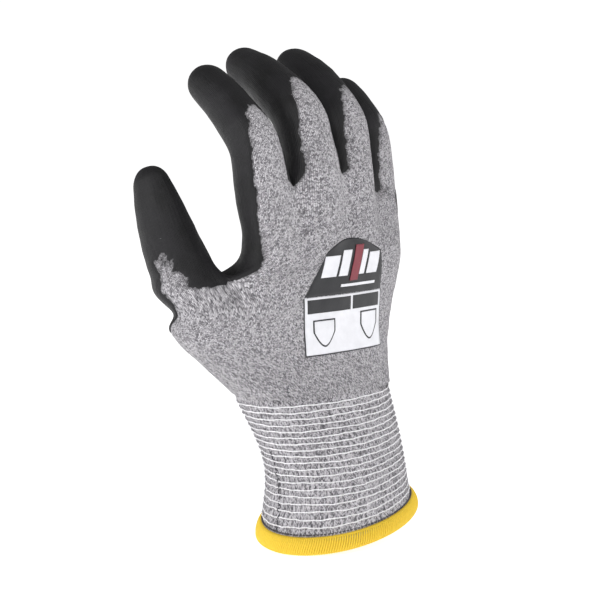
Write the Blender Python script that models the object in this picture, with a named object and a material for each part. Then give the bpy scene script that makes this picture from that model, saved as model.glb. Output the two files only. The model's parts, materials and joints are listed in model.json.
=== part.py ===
"""Cut resistant work glove, right hand, in the relaxed pose of a filled glove.

The origin is the centre of the cuff mouth. +Z runs from the cuff to the fingertips, the back
of the hand faces -Y, the palm +Y and the thumb -X. Lengths below are millimetres and angles
degrees; every mesh is made in metres. The glove is one seamless liner in life: here it is cut
at the joint lines, so that each section can turn, and the dipped coating is cut with it.
"""
import math
from collections import namedtuple

import bmesh
import bpy
from mathutils import Matrix, Vector

MM = 0.001

# Fabric and coating
KNIT_WALL = 1.2
COAT_WALL = 0.8
FIT_GAP = 0.35
PALM_GAP = 0.45
JOINT_GAP = 0.35
TURN_SLACK = 1.5
SHARP_ANGLE = 40.0

# Cuff
CUFF_LENGTH = 64.0
CUFF_LEAN_ACROSS = -13.8
CUFF_LEAN_BACK = 3.2
MOUTH_HALF_WIDTH = 39.5
MOUTH_HALF_DEPTH = 27.0
WAIST_HALF_WIDTH = 36.5
WAIST_HALF_DEPTH = 25.5
WAIST_HEIGHT = 26.0
WAIST_SHIFT = 3.5
WRIST_HALF_WIDTH = 40.0
WRIST_HALF_DEPTH = 24.5
MOUTH_DIP = 12.0
MOUTH_DIP_FROM = 128.0
CUFF_SIDES = 20
CUFF_RINGS = 7
WRIST_BEND = 25.0
ELASTIC_PITCH = 2.9
ELASTIC_RADIUS = 0.35
HEM_HEIGHT = 5.6
HEM_WALL = 1.1

# Palm and back of the hand, measured from the wrist centre. HEEL_AT and BALL_AT are shares of
# the height of the thumb's root. The rows below are, from the heel up: how far the little
# finger's side stands out past the wrist, how far the middle lies towards the palm, the half
# depth, and how far the ball of the thumb swells towards the palm.
PALM_HALF_DEPTH = 16.0
HEEL_AT, BALL_AT = 0.35, 0.7
LITTLE_SIDE_OUT = (2.0, 5.0, 7.5, 10.0)
MIDDLE_TO_PALM = (1.5, 1.0, 0.0, -1.0, -1.5, -1.0)
LOWER_HALF_DEPTHS = (20.5, 18.0, 16.5)
THUMB_SWELLS = (6.0, 10.8, 13.5, 5.0, 1.5)
THUMB_SIDE_OUT = 14.0
BALL_TUCK = 3.0
HEEL_TUCK = 1.0
WEB_SHARE = 0.8
WEB_TUCKS = (4.5, 1.0)
WEB_SPAN = 10.0
FAR_TUCK = 5.0
HAND_SIDES = 28
HAND_RINGS = 11
HAND_SQUARENESS = 2.5
KNUCKLE_TUCK = 1.4
PALMAR_FROM = 0.15
BACK_RIM_SHARE = 0.6
PALM_COAT_FIRST_RING = 2
PALM_COAT_WRAP = 1
LABEL_WIDTH = 46.0
LABEL_SHIFT = 7.0
PANEL_HEIGHT = 26.0
HEADER_EDGE_HEIGHT = 19.5
HEADER_PEAK_HEIGHT = 26.5
HEADER_SLANT = 13.0
HEADER_PEAK_LEAN = 0.8
LABEL_BOTTOM = 18.5
LABEL_STEPS = 6
LABEL_WALL = 0.4
LABEL_SEAM = 0.4

# Digits
DIGIT_SIDES = 12
DIGIT_RINGS = 4
TIP_RINGS = 3
TIP_RING_STEP = 25.0
CUTTER_LENGTHS = 3.0
COAT_SPAN_ROOT = 120.0
COAT_SPAN_MIDDLE = 150.0

Digit = namedtuple("Digit", "name root spread curls bones radii")
FINGERS = (
    Digit("index", (-26.4, -1.0, 84.5), -6.0, (6, 50, 60), (30.5, 25.0, 15.5), (11.7, 10.5, 9.1, 8.3)),
    Digit("middle", (2.0, -5.0, 86.0), -2.0, (19, 60, 74), (42.0, 31.0, 14.5), (11.6, 11.0, 9.2, 8.4)),
    Digit("ring", (26.6, -2.0, 84.0), 3.0, (21, 53, 70), (41.0, 28.5, 15.5), (10.0, 9.9, 8.8, 8.2)),
    Digit("little", (48.0, 9.5, 80.0), 7.0, (19, 48, 58), (36.0, 17.0, 11.0), (8.7, 8.6, 7.9, 7.3)),
)
PHALANGES = ("proximal", "middle", "tip")

# Most flexed and most extended angle of each joint, measured from a straight finger
KNUCKLE_FLEX, KNUCKLE_EXTEND = 60.0, 10.0
MIDDLE_FLEX, MIDDLE_EXTEND = 85.0, 0.0
END_FLEX, END_EXTEND = 40.0, 8.0

THUMB_ROOT = (-50.8, 18.0, 43.0)
THUMB_JOINT = (-62.0, 24.0, 74.2)
THUMB_TIP_LENGTH = 21.5
THUMB_TIP_CURL = 8.0
THUMB_BACK_FACES = (-0.92, -0.37, 0.14)
THUMB_RADII = (14.8, 12.3, 8.3)
THUMB_FLEX, THUMB_EXTEND = 15.0, 15.0
THUMB_END_FLEX, THUMB_END_EXTEND = 45.0, 10.0


def tan(degrees):
    """Tangent of an angle in degrees."""
    return math.tan(math.radians(degrees))


def material(name, rgb, roughness):
    """A plain Principled material."""
    made = bpy.data.materials.new(name)
    made.use_nodes = True
    shader = made.node_tree.nodes["Principled BSDF"]
    shader.inputs["Base Color"].default_value = (*rgb, 1.0)
    shader.inputs["Roughness"].default_value = roughness
    shader.inputs["Metallic"].default_value = 0.0
    return made


def empty(name, parent, matrix):
    """A joint frame: its X is the hinge line, its Z the way to the next joint."""
    made = bpy.data.objects.new(name, None)
    bpy.context.scene.collection.objects.link(made)
    made.parent = parent
    made.matrix_basis = matrix
    return made


def add_object(name, data, parent, shade):
    """Link a finished mesh or curve under its joint frame."""
    made = bpy.data.objects.new(name, data)
    bpy.context.scene.collection.objects.link(made)
    made.parent = parent
    data.materials.append(shade)
    return made


def add_wall(piece, wall):
    """Thicken a surface outwards into one closed body."""
    solid = piece.modifiers.new("wall", "SOLIDIFY")
    solid.thickness = wall * MM
    solid.offset = 1.0
    solid.use_even_offset = True
    solid.use_rim = True
    return solid


def skin(name, rings, parent, shade, wall, lift=0.0, capped=False, keep=None, open_ring=False):
    """Bridge rings of points, given from the first end, into a walled skin.

    Each ring is (centre, points); the centre says which way is out. The surface is raised
    by lift before it gets its wall, which is how one layer clears the one below. keep says,
    by ring and place in it, which points stay.
    """
    mesh = bmesh.new()
    loops = []
    dropped = []
    for n, (_, points) in enumerate(rings):
        verts = [mesh.verts.new(point * MM) for point in points]
        dropped += [vert for k, vert in enumerate(verts) if keep and not keep(n, k)]
        ends = verts[1:] if open_ring else verts[1:] + verts[:1]
        loops.append([mesh.edges.new(pair) for pair in zip(verts, ends)])
    for (centre, _), lower, upper in zip(rings, loops, loops[1:]):
        bridged = bmesh.ops.bridge_loops(mesh, edges=lower + upper)
        for face in bridged["faces"]:
            face.normal_update()
            if face.normal.dot(face.calc_center_median() - centre * MM) < 0.0:
                face.normal_flip()
    if capped:
        for face in bmesh.ops.edgeloop_fill(mesh, edges=loops[-1])["faces"]:
            face.normal_update()
            if face.normal.dot(face.calc_center_median() - rings[0][0] * MM) < 0.0:
                face.normal_flip()
    bmesh.ops.triangulate(mesh, faces=mesh.faces, quad_method="FIXED")
    mesh.normal_update()
    raised = [vert.co + vert.normal * vert.calc_shell_factor() * lift * MM for vert in mesh.verts]
    for vert, place in zip(mesh.verts, raised):
        vert.co = place
    bmesh.ops.delete(mesh, geom=dropped, context="VERTS")
    data = bpy.data.meshes.new(name)
    mesh.to_mesh(data)
    mesh.free()
    data.shade_smooth()
    data.set_sharp_from_angle(angle=math.radians(SHARP_ANGLE))
    piece = add_object(name, data, parent, shade)
    add_wall(piece, wall)
    return piece


def smooth_value(table, column, height):
    """One column of a table of sections, joined by a smooth curve through the rows."""
    rows = [table[0]] + list(table) + [table[-1]]
    for before, low, high, after in zip(rows, rows[1:], rows[2:], rows[3:]):
        if height <= high[0] or high is table[-1]:
            break
    span = high[0] - low[0]
    share = (height - low[0]) / span
    slope_low = (high[column] - before[column]) / max(high[0] - before[0], span) * span
    slope_high = (after[column] - low[column]) / max(after[0] - low[0], span) * span
    return (
        low[column] * (1 + 2 * share) * (1 - share) ** 2
        + slope_low * share * (1 - share) ** 2
        + high[column] * share ** 2 * (3 - 2 * share)
        + slope_high * share ** 2 * (share - 1)
    )


# Cuff -----------------------------------------------------------------------------------------

def cuff_sections():
    """Height, centre across, centre back, half width, half depth and dip of the cuff."""
    share = WAIST_HEIGHT / CUFF_LENGTH
    waist_across = CUFF_LEAN_ACROSS * share + WAIST_SHIFT
    waist_back = CUFF_LEAN_BACK * share
    return (
        (0.0, 0.0, 0.0, MOUTH_HALF_WIDTH, MOUTH_HALF_DEPTH, MOUTH_DIP),
        (WAIST_HEIGHT, waist_across, waist_back, WAIST_HALF_WIDTH, WAIST_HALF_DEPTH, MOUTH_DIP / 3),
        (CUFF_LENGTH, CUFF_LEAN_ACROSS, CUFF_LEAN_BACK, WRIST_HALF_WIDTH, WRIST_HALF_DEPTH, 0.0),
    )


def cuff_point(angle, height, out):
    """A point on the cuff, out from the inside of its wall; the mouth dips to one side."""
    across, back, width, depth, dip = (smooth_value(cuff_sections(), n, height) for n in range(1, 6))
    x = (width - KNIT_WALL + out) * math.cos(angle)
    y = (depth - KNIT_WALL + out) * math.sin(angle)
    towards = math.radians(MOUTH_DIP_FROM + 90.0)
    drop = tan(dip) * (x * math.cos(towards) + y * math.sin(towards))
    return Vector((across + x, back + y, height - drop))


def turn_angles(count):
    """Evenly spaced angles round a full turn."""
    return [math.tau * n / count for n in range(count)]


def cuff_ring(share, low, high):
    """One ring of the cuff; the top one falls away from the wrist's hinge line."""
    points = []
    for angle in turn_angles(CUFF_SIDES):
        fall = JOINT_GAP + WRIST_HALF_DEPTH * abs(math.sin(angle)) * tan(WRIST_BEND / 2)
        height = low + (high - fall - low) * share
        points.append(cuff_point(angle, height, 0.0))
    middle = sum(points, Vector()) / CUFF_SIDES
    return middle, points


def make_cuff(frame, shade):
    """The knitted cuff tube, open at both ends."""
    rings = [cuff_ring(n / CUFF_RINGS, 0.0, CUFF_LENGTH) for n in range(CUFF_RINGS + 1)]
    skin("cuff_knit", rings, frame, shade, KNIT_WALL)


def make_elastic(frame, shade):
    """The one elastic yarn laid into the cuff, as its helix of courses."""
    start = HEM_HEIGHT + ELASTIC_PITCH / 2
    fall = WRIST_HALF_DEPTH * tan(WRIST_BEND / 2)
    turns = math.floor((CUFF_LENGTH - fall - 2 * JOINT_GAP - start) / ELASTIC_PITCH)
    out = KNIT_WALL + FIT_GAP + ELASTIC_RADIUS
    curve = bpy.data.curves.new("cuff_elastic_yarn", "CURVE")
    curve.dimensions = "3D"
    spline = curve.splines.new("POLY")
    steps = turns * CUFF_SIDES
    spline.points.add(steps)
    for n, point in enumerate(spline.points):
        height = start + ELASTIC_PITCH * n / CUFF_SIDES
        place = cuff_point(math.tau * n / CUFF_SIDES, height, out) * MM
        point.co = (*place, 1.0)
    curve.bevel_depth = ELASTIC_RADIUS * MM
    curve.bevel_resolution = 0
    curve.use_fill_caps = True
    add_object("cuff_elastic_yarn", curve, frame, shade)


def hem_profile():
    """The hem's channel section, as distance out from the cuff's inside and height."""
    inner = -FIT_GAP
    outer = KNIT_WALL + FIT_GAP
    floor = -FIT_GAP
    return (
        (outer, HEM_HEIGHT),
        (outer + HEM_WALL, HEM_HEIGHT - HEM_WALL / 2),
        (outer + HEM_WALL, floor),
        (outer, floor - HEM_WALL),
        (inner, floor - HEM_WALL),
        (inner - HEM_WALL, floor),
        (inner - HEM_WALL, HEM_HEIGHT - HEM_WALL / 2),
        (inner, HEM_HEIGHT),
        (inner, floor),
        (outer, floor),
    )


def make_hem(frame, shade):
    """The overlocked hem: sewing thread wrapped over the raw edge of the cuff."""
    mesh = bmesh.new()
    loops = []
    for angle in turn_angles(CUFF_SIDES):
        verts = []
        for out, height in hem_profile():
            point = cuff_point(angle, max(height, 0.0), out)
            point.z += min(height, 0.0)
            verts.append(mesh.verts.new(point * MM))
        loops.append([mesh.edges.new(pair) for pair in zip(verts, verts[1:] + verts[:1])])
    for first, second in zip(loops, loops[1:] + loops[:1]):
        bmesh.ops.bridge_loops(mesh, edges=first + second)
    bmesh.ops.recalc_face_normals(mesh, faces=mesh.faces)
    data = bpy.data.meshes.new("hem_overlock_thread")
    mesh.to_mesh(data)
    mesh.free()
    data.shade_smooth()
    add_object("hem_overlock_thread", data, frame, shade)


# Hand -----------------------------------------------------------------------------------------

def hand_sections():
    """Height, thumb-side edge, little-side edge, middle back, half depth, thumb-side swell."""
    index, middle, _, little = FINGERS
    near = index.root[0] - index.radii[0] + KNUCKLE_TUCK / 2
    far = little.root[0] + little.radii[0] - KNUCKLE_TUCK
    root = THUMB_ROOT[2]
    web = root + THUMB_RADII[0] * WEB_SHARE
    bulge = THUMB_ROOT[0] - THUMB_SIDE_OUT
    heel_edge = (bulge - WRIST_HALF_WIDTH) / 2 - HEEL_TUCK
    heights = (root * HEEL_AT, root * BALL_AT, root, web, web + WEB_SPAN, middle.root[2])
    near_edges = (heel_edge, bulge + BALL_TUCK, bulge, near - WEB_TUCKS[0], near - WEB_TUCKS[1], near)
    far_edges = [WRIST_HALF_WIDTH + out for out in LITTLE_SIDE_OUT] + [far - FAR_TUCK, far]
    depths = LOWER_HALF_DEPTHS + (PALM_HALF_DEPTH,) * 3
    swells = THUMB_SWELLS + (0.0,)
    wrist = (0.0, -WRIST_HALF_WIDTH, WRIST_HALF_WIDTH, 0.0, WRIST_HALF_DEPTH, 0.0)
    return [wrist, *zip(heights, near_edges, far_edges, MIDDLE_TO_PALM, depths, swells)]


def hand_point(angle, height):
    """A point inside the knit of the hand, at an angle round it and a height on it."""
    near, far, back, depth, swell = (smooth_value(hand_sections(), n, height) for n in range(1, 6))
    power = 2.0 / HAND_SQUARENESS
    c, s = math.cos(angle), math.sin(angle)
    half = (far - near) / 2 - KNIT_WALL
    x = (near + far) / 2 + half * math.copysign(abs(c) ** power, c)
    y = back + (depth - KNIT_WALL) * math.copysign(abs(s) ** power, s)
    y += swell * max(0.0, -c) ** 2
    return Vector((x, y, height))


def knuckle_height(x, palmar):
    """Height of the hand's top rim at x: below the finger roots, lower on the palm side."""
    roots = [finger.root for finger in FINGERS]
    x = min(max(x, roots[0][0]), roots[-1][0])
    for low, high in zip(roots, roots[1:]):
        if x <= high[0]:
            break
    height = low[2] + (high[2] - low[2]) * (x - low[0]) / (high[0] - low[0])
    bend = KNUCKLE_FLEX if palmar else KNUCKLE_EXTEND
    widest = max(finger.radii[0] for finger in FINGERS) + FIT_GAP + COAT_WALL
    return height - JOINT_GAP - TURN_SLACK - widest * tan(bend / 2) * (1.0 if palmar else BACK_RIM_SHARE)


def hand_ring(share):
    """One ring of the hand, from the wrist (0) to the knuckles (1)."""
    points = []
    for angle in turn_angles(HAND_SIDES):
        s = math.sin(angle)
        foot = JOINT_GAP + WRIST_HALF_DEPTH * abs(s) * tan(WRIST_BEND / 2)
        guess = hand_point(angle, FINGERS[1].root[2])
        head = knuckle_height(guess.x, s > PALMAR_FROM)
        points.append(hand_point(angle, foot + (head - foot) * share))
    height = sum(point.z for point in points) / len(points)
    middle = hand_point(0.0, height) + hand_point(math.pi, height)
    return middle / 2, points


def thumb_cutter(frame, shade):
    """A flared cutter that opens the hand for the thumb and for its swing."""
    radius = THUMB_RADII[0] + FIT_GAP + COAT_WALL + TURN_SLACK
    length = THUMB_RADII[0] * CUTTER_LENGTHS
    mesh = bmesh.new()
    flare = radius + length * tan(THUMB_FLEX)
    made = bmesh.ops.create_cone(
        mesh, cap_ends=True, segments=DIGIT_SIDES * 2,
        radius1=radius * MM, radius2=flare * MM, depth=length * MM)
    lift = length / 2 - THUMB_RADII[0] * tan(THUMB_FLEX / 2) - TURN_SLACK
    bmesh.ops.translate(mesh, verts=made["verts"], vec=Vector((0.0, 0.0, lift * MM)))
    data = bpy.data.meshes.new("thumb_cutter")
    mesh.to_mesh(data)
    mesh.free()
    cutter = add_object("thumb_cutter", data, frame, shade)
    cutter.hide_render = True
    cutter.display_type = "WIRE"
    return cutter


def cut_with(piece, cutter):
    """Take the cutter's shape out of a walled piece."""
    cut = piece.modifiers.new("cut", "BOOLEAN")
    cut.operation = "DIFFERENCE"
    cut.solver = "EXACT"
    cut.object = cutter


def make_hand(frame, cutter, knit, coat):
    """The hand's knit section, and the dipped coating over its palm side."""
    rings = [hand_ring(n / HAND_RINGS) for n in range(HAND_RINGS + 1)]
    cut_with(skin("hand_knit", rings, frame, knit, KNIT_WALL), cutter)

    def coated(ring, side):
        """True over the palm side and a little round both edges."""
        far = HAND_SIDES // 2 + PALM_COAT_WRAP
        return ring >= PALM_COAT_FIRST_RING and (side <= far or side >= HAND_SIDES - PALM_COAT_WRAP)

    palm = skin("palm_coating", rings, frame, coat, COAT_WALL, lift=KNIT_WALL + PALM_GAP, keep=coated)
    cut_with(palm, cutter)


def back_point(x, height):
    """The point of the hand's inner surface on its back, at x and a height."""
    near, far, back, depth, _ = (smooth_value(hand_sections(), n, height) for n in range(1, 6))
    half = (far - near) / 2 - KNIT_WALL
    share = (x - (near + far) / 2) / half
    y = back - (depth - KNIT_WALL) * (1 - abs(share) ** HAND_SQUARENESS) ** (1 / HAND_SQUARENESS)
    return Vector((x, y, height))


def header_height(share):
    """Height of the header film at a share of its width: an off-centre peak between two edges."""
    rise = math.sin(math.pi * share ** HEADER_PEAK_LEAN)
    return HEADER_EDGE_HEIGHT + (HEADER_PEAK_HEIGHT - HEADER_EDGE_HEIGHT) * rise


def make_label(frame, film, header):
    """The heat-pressed label on the back of the hand, in two films with a seam between."""
    seam = LABEL_BOTTOM + PANEL_HEIGHT
    lift = KNIT_WALL + FIT_GAP
    centre = Vector((LABEL_SHIFT, 0.0, seam))
    shares = [n / LABEL_STEPS for n in range(LABEL_STEPS + 1)]
    left = LABEL_SHIFT - LABEL_WIDTH / 2
    lower, upper = [], []
    for rise in shares:
        height = LABEL_BOTTOM + PANEL_HEIGHT * rise
        lower.append((centre, [back_point(left + LABEL_WIDTH * share, height) for share in shares]))
        slant = HEADER_SLANT * rise
        row = []
        for share in shares:
            x = left + slant + (LABEL_WIDTH - slant) * share
            row.append(back_point(x, seam + LABEL_SEAM + header_height(share) * rise))
        upper.append((centre, row))
    skin("label_panel", lower, frame, film, LABEL_WALL, lift=lift, open_ring=True)
    skin("label_header", upper, frame, header, LABEL_WALL, lift=lift, open_ring=True)


# Digits ---------------------------------------------------------------------------------------

def cut_back(radius, angle, flex, extend):
    """How far a section ends short of a joint, so that it clears at both limits."""
    palmar = math.cos(angle)
    bend = flex if palmar > 0.0 else extend
    return JOINT_GAP + abs(radius * palmar) * tan(bend / 2)


def digit_rings(length, radii, start, end, tip):
    """Rings of one digit section along +Z; tip adds the rounded end."""
    outside = FIT_GAP + COAT_WALL
    rings = []
    for n in range(DIGIT_RINGS + 1):
        share = n / DIGIT_RINGS
        points = []
        for angle in turn_angles(DIGIT_SIDES):
            low = cut_back(radii[0] + outside, angle, *start)
            high = length if tip else length - cut_back(radii[1] + outside, angle, *end)
            height = low + (high - low) * share
            radius = radii[0] + (radii[1] - radii[0]) * height / length - KNIT_WALL
            points.append(Vector((radius * math.sin(angle), radius * math.cos(angle), height)))
        rings.append((Vector((0.0, 0.0, length * share)), points))
    if tip:
        inside = radii[1] - KNIT_WALL
        for n in range(1, TIP_RINGS + 1):
            lean = math.radians(TIP_RING_STEP * n)
            centre = Vector((0.0, 0.0, length))
            rise = Vector((0.0, 0.0, length + inside * math.sin(lean)))
            radius = inside * math.cos(lean)
            around = turn_angles(DIGIT_SIDES)
            points = [rise + Vector((radius * math.sin(a), radius * math.cos(a), 0)) for a in around]
            rings.append((centre, points))
    return rings


def coated_side(span_start, span_end):
    """Says which points of a digit's rings lie under its coating, from the palm side round."""
    def keep(ring, side):
        """True where the point's angle is within the coating's span at that ring."""
        angle = 360.0 * min(side, DIGIT_SIDES - side) / DIGIT_SIDES
        return angle <= span_start + (span_end - span_start) * ring / DIGIT_RINGS
    return keep


def make_section(name, part, frame, length, radii, bends, spans, knit, coat):
    """The knit of one digit section and its coating, which covers a tip all round.

    bends holds the most it flexes and extends at its start and at its end; a tip has no end.
    """
    tip = bends[1] is None
    rings = digit_rings(length, radii, *bends, tip)
    skin(f"{name}_knit_{part}", rings, frame, knit, KNIT_WALL, capped=tip)
    keep = None if tip else coated_side(*spans)
    lift = KNIT_WALL + FIT_GAP
    skin(f"{name}_coating_{part}", rings, frame, coat, COAT_WALL, lift=lift, capped=tip, keep=keep)


def make_finger(finger, hand, knit, coat):
    """The three sections of a finger, each on its own joint frame."""
    limits = ((KNUCKLE_FLEX, KNUCKLE_EXTEND), (MIDDLE_FLEX, MIDDLE_EXTEND), (END_FLEX, END_EXTEND))
    spans = ((COAT_SPAN_ROOT, COAT_SPAN_ROOT), (COAT_SPAN_ROOT, COAT_SPAN_MIDDLE), None)
    parent = hand
    spread = Matrix.Rotation(math.radians(finger.spread), 4, "Y")
    place = Matrix.Translation(Vector(finger.root) * MM) @ spread
    before = 0.0
    for n, part in enumerate(PHALANGES):
        bend = math.radians(finger.curls[n] - before)
        before = finger.curls[n]
        place = place @ Matrix.Rotation(-bend, 4, "X")
        frame = empty(f"{finger.name}_{part}_joint", parent, place)
        end = None if part == PHALANGES[-1] else limits[n + 1]
        radii = finger.radii[n:n + 2]
        bends = (limits[n], end)
        make_section(finger.name, part, frame, finger.bones[n], radii, bends, spans[n], knit, coat)
        parent = frame
        place = Matrix.Translation(Vector((0.0, 0.0, finger.bones[n] * MM)))


def thumb_frame(start, end):
    """A frame at start whose Z points at end and whose -Y is the back of the thumb."""
    z = (Vector(end) - Vector(start)).normalized()
    x = z.cross(Vector(THUMB_BACK_FACES)).normalized()
    y = z.cross(x)
    turn = Matrix((x, y, z)).transposed().to_4x4()
    return Matrix.Translation(Vector(start) * MM) @ turn


def make_thumb(frame, knit, coat):
    """The two free sections of the thumb, the first on the frame at its root."""
    length = (Vector(THUMB_JOINT) - Vector(THUMB_ROOT)).length
    root, end = (THUMB_FLEX, THUMB_EXTEND), (THUMB_END_FLEX, THUMB_END_EXTEND)
    spans = (COAT_SPAN_ROOT, COAT_SPAN_MIDDLE)
    make_section("thumb", "proximal", frame, length, THUMB_RADII[:2], (root, end), spans, knit, coat)
    bend = Matrix.Rotation(-math.radians(THUMB_TIP_CURL), 4, "X")
    place = Matrix.Translation(Vector((0.0, 0.0, length * MM))) @ bend
    tip = empty("thumb_tip_joint", frame, place)
    make_section("thumb", "tip", tip, THUMB_TIP_LENGTH, THUMB_RADII[1:], (end, None), None, knit, coat)


def main():
    """Build the glove in an empty scene."""
    for old in list(bpy.data.objects):
        bpy.data.objects.remove(old, do_unlink=True)
    knit = material("heather_knit", (0.42, 0.42, 0.43), 0.9)
    rib = material("cuff_rib_knit", (0.34, 0.34, 0.35), 0.9)
    coat = material("dipped_polyurethane", (0.015, 0.015, 0.017), 0.45)
    elastic = material("elastic_yarn", (0.82, 0.82, 0.80), 0.8)
    hem = material("overlock_thread", (0.90, 0.66, 0.02), 0.8)
    film = material("label_film", (0.86, 0.86, 0.86), 0.5)
    header = material("label_header_film", (0.02, 0.02, 0.02), 0.4)

    cuff = empty("cuff_frame", None, Matrix.Identity(4))
    make_cuff(cuff, rib)
    make_elastic(cuff, elastic)
    make_hem(cuff, hem)

    wrist = Vector((CUFF_LEAN_ACROSS, CUFF_LEAN_BACK, CUFF_LENGTH))
    hand = empty("wrist_joint", cuff, Matrix.Translation(wrist * MM))
    thumb = empty("thumb_proximal_joint", hand, thumb_frame(THUMB_ROOT, THUMB_JOINT))
    make_hand(hand, thumb_cutter(thumb, knit), knit, coat)
    make_label(hand, film, header)
    make_thumb(thumb, knit, coat)
    for finger in FINGERS:
        make_finger(finger, hand, knit, coat)


main()
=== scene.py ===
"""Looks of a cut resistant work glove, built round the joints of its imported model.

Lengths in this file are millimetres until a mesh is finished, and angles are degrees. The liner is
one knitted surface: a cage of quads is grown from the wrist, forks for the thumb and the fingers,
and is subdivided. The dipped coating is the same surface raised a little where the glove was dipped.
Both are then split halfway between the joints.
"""
import json
import math

import bmesh
import bpy
import numpy as np
from bpy.props import FloatProperty, FloatVectorProperty, IntProperty, PointerProperty
from mathutils import Matrix, Vector, noise
from mathutils.bvhtree import BVHTree


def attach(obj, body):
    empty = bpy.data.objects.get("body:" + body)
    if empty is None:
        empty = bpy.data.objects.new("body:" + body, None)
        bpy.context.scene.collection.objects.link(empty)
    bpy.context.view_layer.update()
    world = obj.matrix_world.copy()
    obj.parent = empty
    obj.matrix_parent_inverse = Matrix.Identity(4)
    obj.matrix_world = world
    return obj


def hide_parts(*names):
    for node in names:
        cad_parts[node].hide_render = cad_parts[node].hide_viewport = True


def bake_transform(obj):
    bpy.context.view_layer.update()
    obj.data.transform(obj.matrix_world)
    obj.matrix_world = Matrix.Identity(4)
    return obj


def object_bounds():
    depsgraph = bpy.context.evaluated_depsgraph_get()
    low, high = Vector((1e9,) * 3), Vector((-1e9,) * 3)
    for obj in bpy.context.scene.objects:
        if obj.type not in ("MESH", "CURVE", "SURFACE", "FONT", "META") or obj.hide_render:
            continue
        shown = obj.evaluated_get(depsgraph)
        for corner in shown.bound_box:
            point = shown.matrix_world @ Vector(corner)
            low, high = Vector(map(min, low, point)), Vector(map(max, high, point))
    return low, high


bl_info = {
    "name": "Cut Resistant Glove",
    "version": (1, 0, 0),
    "blender": (4, 5, 0),
    "location": "3D View > Sidebar > Glove",
    "description": "Builds the knitted liner, dipped coating, cuff, hem and label of a work glove",
    "category": "Mesh",
}

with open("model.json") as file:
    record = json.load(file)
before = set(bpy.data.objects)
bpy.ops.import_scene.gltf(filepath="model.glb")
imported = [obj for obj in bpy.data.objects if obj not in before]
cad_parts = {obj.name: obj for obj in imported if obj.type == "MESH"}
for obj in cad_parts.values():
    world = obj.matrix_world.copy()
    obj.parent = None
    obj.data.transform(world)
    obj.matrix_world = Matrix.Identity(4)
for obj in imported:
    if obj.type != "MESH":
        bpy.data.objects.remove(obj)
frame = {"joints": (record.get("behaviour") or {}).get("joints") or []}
CAD_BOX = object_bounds()
JOINTS = {joint["name"]: joint for joint in frame["joints"]}
MM = 0.001
WRIST = np.array(JOINTS["wrist"]["pos_m"]) / MM

# Hand sections from the wrist up: height, thumb-side edge, little-side edge, middle towards the
# palm, half depth and the swell of the thumb's ball, all from the wrist centre.
HAND_ROWS = (
    (0.0, -40.0, 41.5, 0.0, 24.5, 0.0),
    (15.0, -53.5, 43.8, 1.5, 20.5, 7.0),
    (30.0, -64.5, 46.5, 1.0, 18.0, 15.5),
    (43.0, -65.2, 49.0, 0.0, 17.0, 15.5),
    (55.0, -40.2, 51.0, -1.0, 16.0, 6.0),
    (65.0, -35.2, 52.0, -1.5, 16.0, 1.5),
    (88.0, -34.6, 55.5, -1.0, 15.5, 0.0),
)
HAND_SQUARENESS = 2.4
LOWER_COLUMNS = 44
UPPER_COLUMNS = 36
LOWER_HEIGHTS = (7.5, 15.0, 22.5, 30.0, 37.5, 45.0)
FORK_HEIGHT = 51.0
UPPER_HEIGHTS = (58.0, 65.0, 72.0, 79.0)
RIM_BLEND = (60.0, 90.0)
THUMB_FORK = 9.0
THUMB_TILT = 7.0
WEB_SADDLE = (-42.0, 15.5, 44.0)

# Digits: radii at the joints and the tip, length and curl of the last section, how far along the
# digit its web lies, and the dry patch on its back (half angle, turn towards the little finger,
# reach past the middle joint).
DIGITS = {
    "index": {"radii": (11.8, 11.5, 9.7, 8.8), "tip": 15.5, "curl": 10.0,
              "rim": 9.0, "dry": (67.0, 13.0, 13.0)},
    "middle": {"radii": (12.3, 12.1, 10.0, 9.0), "tip": 14.5, "curl": 14.0,
               "rim": 12.0, "dry": (69.0, 15.0, 14.0)},
    "ring": {"radii": (10.8, 11.2, 9.6, 8.8), "tip": 15.5, "curl": 17.0,
             "rim": 13.0, "dry": (65.0, 20.0, 12.0)},
    "little": {"radii": (10.0, 9.9, 8.6, 7.8), "tip": 11.0, "curl": 10.0,
               "rim": 8.0, "dry": (57.0, 30.0, 5.0)},
    "thumb": {"radii": (15.2, 12.3, 8.5), "tip": 21.5, "curl": 8.0, "rim": 9.0, "dry": (32.0, 0.0, -6.0)},
}
FINGERS = ("index", "middle", "ring", "little")
WEB_HEIGHTS = (154.5, 160.0, 153.0)
FINGER_COLUMNS = 12
THUMB_COLUMNS = 16
THUMB_FIRST_COLUMN = 199
THUMB_SHIFT = np.array((-1.2, 0.9, 0.0))
THUMB_WEB_TURN = 65.0
THUMB_DRY_TURN = 150.0
RING_STEP = 6.0
TIP_HEIGHT = 1.05
WEB_DROP = 2.0
WEB_SINK = 1.5
FINGER_SWELL = 1.047
THUMB_SWELL = 1.026
RIM_SECTION = 88.0
BEND_SPAN = 7.0
SPLIT_BEFORE = 11.5
BLEND_HALF = 6.5
LITTLE_BLEND_HALF = 5.0

# Knit and coating
WALES_A_COLUMN = 4
COURSE = 1.15
KNIT_WALL = 1.0
COAT_WALL = 0.5
COAT_RISE = 0.45
COAT_SINK = 0.35
SUBDIVISIONS = 3

# Cuff: height, middle across, middle towards the palm, half width, half depth, dip in degrees
CUFF_ROWS = (
    (0.0, 0.4, 0.0, 39.2, 27.0, 12.0),
    (26.0, -0.6, 1.3, 36.2, 25.5, 4.0),
    (64.0, -13.05, 3.2, 40.75, 24.5, 0.0),
)
CUFF_DIP_TOWARDS = 218.0
CUFF_TOP = 65.0
RIBS = 82
ELASTIC_PITCH = 2.9
HEM_HEIGHT = 5.4
SEAM_TURN = 187.5
SEAM_STITCHES = 14
KNIT_STRETCH = 1.1


# Curves and frames -----------------------------------------------------------------------------

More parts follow.
